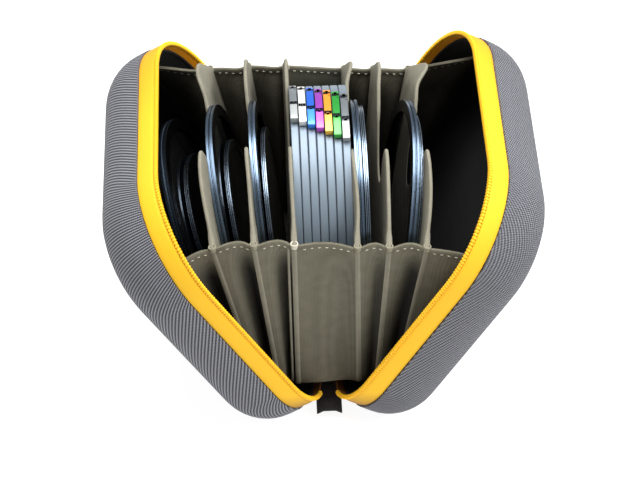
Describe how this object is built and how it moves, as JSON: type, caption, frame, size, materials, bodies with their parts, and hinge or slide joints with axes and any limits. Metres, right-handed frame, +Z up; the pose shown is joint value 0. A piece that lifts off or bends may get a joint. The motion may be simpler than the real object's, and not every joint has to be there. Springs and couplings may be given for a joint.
{
  "type": "lens filter case",
  "caption": "Hard-shell zip case standing open on its hinge side, with a pleated cloth insert whose pockets hold round lens filters with coloured tabs.",
  "frame": {"origin": "on the floor, below the middle of the hinge line", "axes": "+Z up, +Y along the hinge and away from the picture's camera, left half on the -X side"},
  "size_m": [0.1576, 0.13, 0.1056],
  "materials": {
    "shell_cloth": "ribbed charcoal nylon over a moulded core",
    "lining_cloth": "black lining",
    "zip_tape": "yellow twill tape",
    "zip_teeth": "yellow coil",
    "webbing": "black ribbed webbing",
    "zip_metal": "dark lacquer",
    "insert_cloth": "olive grey woven cloth",
    "filter_frame": "blue black anodised",
    "filter_glass": "dark coated glass",
    "cap_metal": "black anodised",
    "tab_grey": "satin grey",
    "tab_white": "satin white",
    "tab_blue": "satin blue",
    "tab_purple": "satin purple",
    "tab_gold": "satin gold",
    "tab_green": "satin green"
  },
  "bodies": {
    "spine": {"hinge_webbing": "webbing", "zip_slider": "zip_metal", "divider_3": "insert_cloth", "divider_4": "insert_cloth", "pleat_4": "insert_cloth"},
    "leaf_2": {"divider_2": "insert_cloth", "pleat_3": "insert_cloth"},
    "leaf_1": {"divider_1": "insert_cloth", "pleat_2": "insert_cloth"},
    "left_case": {"left_shell": "shell_cloth", "left_lining": "lining_cloth", "left_zip_tape": "zip_tape", "left_zip_teeth": "zip_teeth", "pleat_1": "insert_cloth"},
    "leaf_5": {"divider_5": "insert_cloth", "pleat_5": "insert_cloth"},
    "leaf_6": {"divider_6": "insert_cloth", "pleat_6": "insert_cloth"},
    "right_case": {"right_shell": "shell_cloth", "right_lining": "lining_cloth", "right_zip_tape": "zip_tape", "right_zip_teeth": "zip_teeth", "pleat_7": "insert_cloth"},
    "pull": {"zip_pull": "zip_metal"},
    "pack_filter_1": {"pack_frame_1": "filter_frame", "pack_glass_1": "filter_glass", "pack_tab_1": "tab_grey"},
    "pack_filter_2": {"pack_frame_2": "filter_frame", "pack_glass_2": "filter_glass", "pack_tab_2": "tab_white"},
    "pack_filter_3": {"pack_frame_3": "filter_frame", "pack_glass_3": "filter_glass", "pack_tab_3": "tab_blue"},
    "pack_filter_4": {"pack_frame_4": "filter_frame", "pack_glass_4": "filter_glass", "pack_tab_4": "tab_purple"},
    "pack_filter_5": {"pack_frame_5": "filter_frame", "pack_glass_5": "filter_glass", "pack_tab_5": "tab_gold"},
    "pack_filter_6": {"pack_frame_6": "filter_frame", "pack_glass_6": "filter_glass", "pack_tab_6": "tab_green"},
    "pack_filter_7": {"pack_frame_7": "filter_frame", "pack_glass_7": "filter_glass", "pack_tab_7": "tab_grey"},
    "round_filter_1": {"round_frame_1": "filter_frame", "round_glass_1": "filter_glass"},
    "round_filter_2": {"round_frame_2": "filter_frame", "round_glass_2": "filter_glass"},
    "round_filter_3": {"round_frame_3": "filter_frame", "round_glass_3": "filter_glass"},
    "round_filter_5": {"round_frame_5": "filter_frame", "round_glass_5": "filter_glass"},
    "round_filter_6": {"round_frame_6": "filter_frame", "round_glass_6": "filter_glass"},
    "thin_disc_1": {"cap_1": "cap_metal"},
    "thin_disc_2": {"cap_2": "cap_metal"},
    "thin_disc_3": {"cap_3": "cap_metal"},
    "thin_disc_5": {"cap_5": "cap_metal"},
    "thin_disc_6": {"cap_6": "cap_metal"}
  },
  "joints": [
    {"name": "divider_2_fold", "type": "hinge", "parent": "spine", "child": "leaf_2", "pos_m": [0, 0, 0.00833], "axis": [0, 1, 0], "range_deg": [0, 6], "deforming": ["pleat_3"]},
    {"name": "divider_1_fold", "type": "hinge", "parent": "leaf_2", "child": "leaf_1", "pos_m": [0, 0, 0.00833], "axis": [0, 1, 0], "range_deg": [0, 6], "deforming": ["pleat_2"]},
    {"name": "left_shell_fold", "type": "hinge", "parent": "leaf_1", "child": "left_case", "pos_m": [0, 0, 0.00833], "axis": [0, 1, 0], "range_deg": [0, 19], "deforming": ["pleat_1"]},
    {"name": "divider_5_fold", "type": "hinge", "parent": "spine", "child": "leaf_5", "pos_m": [0, 0, 0.00833], "axis": [0, -1, 0], "range_deg": [0, 4], "deforming": ["pleat_5"]},
    {"name": "divider_6_fold", "type": "hinge", "parent": "leaf_5", "child": "leaf_6", "pos_m": [0, 0, 0.00833], "axis": [0, -1, 0], "range_deg": [0, 5.5], "deforming": ["pleat_6"]},
    {"name": "right_shell_fold", "type": "hinge", "parent": "leaf_6", "child": "right_case", "pos_m": [0, 0, 0.00833], "axis": [0, -1, 0], "range_deg": [0, 21.5], "deforming": ["pleat_7"]},
    {"name": "filter_1_lean", "type": "hinge", "parent": "leaf_1", "child": "round_filter_1", "pos_m": [0.02483, 0, 0.02141], "axis": [0, 1, 0], "range_deg": [0, 8]},
    {"name": "zip_pull_swing", "type": "hinge", "parent": "spine", "child": "pull", "pos_m": [0, 0.0477, 0.00513], "axis": [1, 0, 0], "range_deg": [0, 50]},
    {"name": "pack_filter_1_lift", "type": "slide", "parent": "spine", "child": "pack_filter_1", "axis": [0, 0, -1], "range_m": [-0.06, 0]},
    {"name": "pack_filter_2_lift", "type": "slide", "parent": "spine", "child": "pack_filter_2", "axis": [0, 0, -1], "range_m": [-0.06, 0]},
    {"name": "pack_filter_3_lift", "type": "slide", "parent": "spine", "child": "pack_filter_3", "axis": [0, 0, -1], "range_m": [-0.06, 0]},
    {"name": "pack_filter_4_lift", "type": "slide", "parent": "spine", "child": "pack_filter_4", "axis": [0, 0, -1], "range_m": [-0.06, 0]},
    {"name": "pack_filter_5_lift", "type": "slide", "parent": "spine", "child": "pack_filter_5", "axis": [0, 0, -1], "range_m": [-0.06, 0]},
    {"name": "pack_filter_6_lift", "type": "slide", "parent": "spine", "child": "pack_filter_6", "axis": [0, 0, -1], "range_m": [-0.06, 0]},
    {"name": "pack_filter_7_lift", "type": "slide", "parent": "spine", "child": "pack_filter_7", "axis": [0, 0, -1], "range_m": [-0.06, 0]},
    {"name": "thin_disc_1_lift", "type": "slide", "parent": "round_filter_1", "child": "thin_disc_1", "axis": [0.2079, 0, -0.9781], "range_m": [-0.06, 0]},
    {"name": "round_filter_2_lift", "type": "slide", "parent": "leaf_1", "child": "round_filter_2", "axis": [0.2079, 0, -0.9781], "range_m": [-0.06, 0]},
    {"name": "thin_disc_2_lift", "type": "slide", "parent": "leaf_1", "child": "thin_disc_2", "axis": [0.2079, 0, -0.9781], "range_m": [-0.06, 0]},
    {"name": "round_filter_3_lift", "type": "slide", "parent": "leaf_2", "child": "round_filter_3", "axis": [0.1045, 0, -0.9945], "range_m": [-0.06, 0]},
    {"name": "thin_disc_3_lift", "type": "slide", "parent": "leaf_2", "child": "thin_disc_3", "axis": [0.1045, 0, -0.9945], "range_m": [-0.06, 0]},
    {"name": "round_filter_5_lift", "type": "slide", "parent": "spine", "child": "round_filter_5", "axis": [0, 0, -1], "range_m": [-0.06, 0]},
    {"name": "thin_disc_5_lift", "type": "slide", "parent": "spine", "child": "thin_disc_5", "axis": [0, 0, -1], "range_m": [-0.06, 0]},
    {"name": "round_filter_6_lift", "type": "slide", "parent": "leaf_6", "child": "round_filter_6", "axis": [-0.165, 0, -0.9863], "range_m": [-0.06, 0]},
    {"name": "thin_disc_6_lift", "type": "slide", "parent": "leaf_6", "child": "thin_disc_6", "axis": [-0.165, 0, -0.9863], "range_m": [-0.06, 0]}
  ],
  "couplings": [
    {"joint": "divider_1_fold", "follows": "left_shell_fold", "ratio": 0.31579},
    {"joint": "divider_2_fold", "follows": "left_shell_fold", "ratio": 0.31579},
    {"joint": "filter_1_lean", "follows": "left_shell_fold", "ratio": 0.42105},
    {"joint": "divider_5_fold", "follows": "right_shell_fold", "ratio": 0.18605},
    {"joint": "divider_6_fold", "follows": "right_shell_fold", "ratio": 0.25581}
  ]
}
